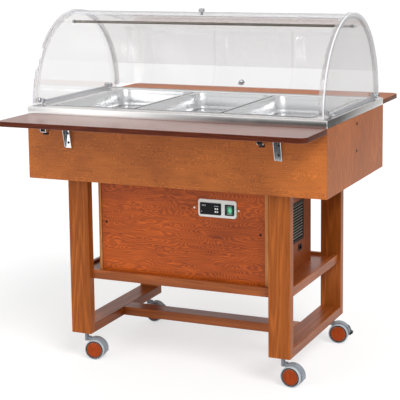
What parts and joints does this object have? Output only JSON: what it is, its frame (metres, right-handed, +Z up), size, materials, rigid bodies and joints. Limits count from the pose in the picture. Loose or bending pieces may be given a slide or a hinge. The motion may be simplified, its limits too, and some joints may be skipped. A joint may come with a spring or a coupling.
{
  "type": "mobile salad bar",
  "caption": "Refrigerated salad bar on casters: wooden case with a stainless well and lift-out pans under a clear roll dome, folding shelves and a cooling box below.",
  "frame": {"origin": "on the floor under the middle of the case", "axes": "+Z up, -Y towards the front with the controls, +X to the right seen from the front"},
  "size_m": [1.146, 1.094, 1.2876],
  "materials": {
    "stained_wood": "satin lacquer",
    "plywood": "plain",
    "box_wood": "satin lacquer",
    "stainless": "brushed",
    "pan_steel": "satin",
    "chrome": "polished",
    "fixing_steel": "plain",
    "aluminium": "natural",
    "clear_acrylic": "clear",
    "foam": "cut foam",
    "copper": "drawn tube",
    "black_plastic": "fine grain",
    "black_enamel": "gloss black",
    "white_plastic": "smooth",
    "green_plastic": "translucent",
    "condenser_metal": "natural",
    "caster_grey": "smooth",
    "tyre_grey": "smooth"
  },
  "bodies": {
    "cart": {"case_boards": "stained_wood", "case_floor": "plywood", "rim_top": "stainless", "cold_well": "stainless", "insulation": "foam", "evaporator_coil": "copper", "pan_bars": "stainless", "base_rails": "aluminium", "dome_nuts": "chrome", "end_panels": "clear_acrylic", "tie_rod": "chrome", "bracket_legs": "chrome", "fixings": "fixing_steel", "legs": "stained_wood", "bottom_rails": "stained_wood", "stretcher": "stained_wood", "tray_panel": "stained_wood", "tray_rails": "stained_wood", "box_boards": "box_wood", "box_front_panel": "box_wood", "side_catch": "fixing_steel", "louvre": "black_plastic", "power_inlet": "black_plastic", "control_plate": "white_plastic", "thermostat": "black_plastic", "switch_frame": "black_plastic", "compressor": "black_enamel", "condenser": "condenser_metal", "caster_stems": "black_plastic"},
    "pan_left": {"pan_left": "pan_steel"},
    "pan_middle": {"pan_middle": "pan_steel"},
    "pan_right": {"pan_right": "pan_steel"},
    "front_flap": {"front_flap": "clear_acrylic", "front_knob": "chrome"},
    "rear_flap": {"rear_flap": "clear_acrylic", "rear_knob": "chrome"},
    "front_shelf": {"front_shelf": "stained_wood", "front_arms": "chrome"},
    "rear_shelf": {"rear_shelf": "stained_wood", "rear_arms": "chrome"},
    "lever_fl": {"lever_fl": "black_plastic"},
    "lever_fr": {"lever_fr": "black_plastic"},
    "lever_rl": {"lever_rl": "black_plastic"},
    "lever_rr": {"lever_rr": "black_plastic"},
    "key_1": {"key_1": "white_plastic"},
    "key_2": {"key_2": "white_plastic"},
    "key_3": {"key_3": "white_plastic"},
    "key_4": {"key_4": "white_plastic"},
    "rocker": {"rocker": "green_plastic"},
    "fan": {"fan": "white_plastic"},
    "hood_fl": {"hood_fl": "caster_grey"},
    "wheels_fl": {"wheels_fl": "tyre_grey"},
    "hood_fr": {"hood_fr": "caster_grey"},
    "wheels_fr": {"wheels_fr": "tyre_grey"},
    "hood_rl": {"hood_rl": "caster_grey"},
    "wheels_rl": {"wheels_rl": "tyre_grey"},
    "hood_rr": {"hood_rr": "caster_grey"},
    "wheels_rr": {"wheels_rr": "tyre_grey"},
    "brake_rl": {"brake_rl": "black_plastic"},
    "brake_rr": {"brake_rr": "black_plastic"}
  },
  "joints": [
    {"name": "pan_left_lift", "type": "slide", "parent": "cart", "child": "pan_left", "axis": [0, 0, 1], "range_m": [0, 0.1]},
    {"name": "pan_middle_lift", "type": "slide", "parent": "cart", "child": "pan_middle", "axis": [0, 0, 1], "range_m": [0, 0.1]},
    {"name": "pan_right_lift", "type": "slide", "parent": "cart", "child": "pan_right", "axis": [0, 0, 1], "range_m": [0, 0.1]},
    {"name": "front_flap_turn", "type": "hinge", "parent": "cart", "child": "front_flap", "pos_m": [0, 0, 0.953], "axis": [1, 0, 0], "range_deg": [0, 77]},
    {"name": "rear_flap_turn", "type": "hinge", "parent": "cart", "child": "rear_flap", "pos_m": [0, 0, 0.953], "axis": [1, 0, 0], "range_deg": [0, 9]},
    {"name": "front_shelf_fold", "type": "hinge", "parent": "cart", "child": "front_shelf", "pos_m": [0, -0.346, 0.878], "axis": [1, 0, 0], "range_deg": [0, 90]},
    {"name": "rear_shelf_fold", "type": "hinge", "parent": "cart", "child": "rear_shelf", "pos_m": [0, 0.346, 0.896], "axis": [-1, 0, 0], "range_deg": [0, 90]},
    {"name": "lever_fl_pull", "type": "hinge", "parent": "front_shelf", "child": "lever_fl", "pos_m": [-0.4, -0.486, 0.8855], "axis": [-1, 0, 0], "range_deg": [0, 12], "stiffness_Nm_per_rad": 0.05, "springref_deg": -5.73},
    {"name": "lever_fr_pull", "type": "hinge", "parent": "front_shelf", "child": "lever_fr", "pos_m": [0.4, -0.486, 0.8855], "axis": [-1, 0, 0], "range_deg": [0, 12], "stiffness_Nm_per_rad": 0.05, "springref_deg": -5.73},
    {"name": "lever_rl_pull", "type": "hinge", "parent": "rear_shelf", "child": "lever_rl", "pos_m": [-0.4, 0.486, 0.9035], "axis": [1, 0, 0], "range_deg": [0, 12], "stiffness_Nm_per_rad": 0.05, "springref_deg": -5.73},
    {"name": "lever_rr_pull", "type": "hinge", "parent": "rear_shelf", "child": "lever_rr", "pos_m": [0.4, 0.486, 0.9035], "axis": [1, 0, 0], "range_deg": [0, 12], "stiffness_Nm_per_rad": 0.05, "springref_deg": -5.73},
    {"name": "key_1_press", "type": "slide", "parent": "cart", "child": "key_1", "axis": [0, 1, 0], "range_m": [0, 0.0008], "stiffness_N_per_m": 600, "springref_m": -0.0005},
    {"name": "key_2_press", "type": "slide", "parent": "cart", "child": "key_2", "axis": [0, 1, 0], "range_m": [0, 0.0008], "stiffness_N_per_m": 600, "springref_m": -0.0005},
    {"name": "key_3_press", "type": "slide", "parent": "cart", "child": "key_3", "axis": [0, 1, 0], "range_m": [0, 0.0008], "stiffness_N_per_m": 600, "springref_m": -0.0005},
    {"name": "key_4_press", "type": "slide", "parent": "cart", "child": "key_4", "axis": [0, 1, 0], "range_m": [0, 0.0008], "stiffness_N_per_m": 600, "springref_m": -0.0005},
    {"name": "rocker_tilt", "type": "hinge", "parent": "cart", "child": "rocker", "pos_m": [0.187, -0.2475, 0.5995], "axis": [1, 0, 0], "range_deg": [-14, 0]},
    {"name": "fan_spin", "type": "hinge", "parent": "cart", "child": "fan", "pos_m": [0.232, -0.027, 0.508], "axis": [1, 0, 0], "continuous": true},
    {"name": "caster_fl_swivel", "type": "hinge", "parent": "cart", "child": "hood_fl", "pos_m": [-0.387, -0.258, 0.09], "axis": [0, 0, 1], "continuous": true},
    {"name": "wheels_fl_roll", "type": "hinge", "parent": "hood_fl", "child": "wheels_fl", "pos_m": [-0.35135, -0.25299, 0.0375], "axis": [-0.1392, 0.9903, 0], "continuous": true},
    {"name": "caster_fr_swivel", "type": "hinge", "parent": "cart", "child": "hood_fr", "pos_m": [0.387, -0.258, 0.09], "axis": [0, 0, 1], "continuous": true},
    {"name": "wheels_fr_roll", "type": "hinge", "parent": "hood_fr", "child": "wheels_fr", "pos_m": [0.42291, -0.26051, 0.0375], "axis": [0.0698, 0.9976, 0], "continuous": true},
    {"name": "caster_rl_swivel", "type": "hinge", "parent": "cart", "child": "hood_rl", "pos_m": [-0.387, 0.258, 0.09], "axis": [0, 0, 1], "continuous": true},
    {"name": "wheels_rl_roll", "type": "hinge", "parent": "hood_rl", "child": "wheels_rl", "pos_m": [-0.3512, 0.25424, 0.0375], "axis": [0.1045, 0.9945, 0], "continuous": true},
    {"name": "caster_rr_swivel", "type": "hinge", "parent": "cart", "child": "hood_rr", "pos_m": [0.387, 0.258, 0.09], "axis": [0, 0, 1], "continuous": true},
    {"name": "wheels_rr_roll", "type": "hinge", "parent": "hood_rr", "child": "wheels_rr", "pos_m": [0.42265, 0.26301, 0.0375], "axis": [-0.1392, 0.9903, 0], "continuous": true},
    {"name": "brake_rl_press", "type": "hinge", "parent": "hood_rl", "child": "brake_rl", "pos_m": [-0.31008, 0.24992, 0.04858], "axis": [0.1045, 0.9945, 0], "range_deg": [0, 7], "stiffness_Nm_per_rad": 0.3, "springref_deg": -8.59},
    {"name": "brake_rr_press", "type": "hinge", "parent": "hood_rr", "child": "brake_rr", "pos_m": [0.46359, 0.26876, 0.04858], "axis": [-0.1392, 0.9903, 0], "range_deg": [0, 7], "stiffness_Nm_per_rad": 0.3, "springref_deg": -8.59}
  ]
}
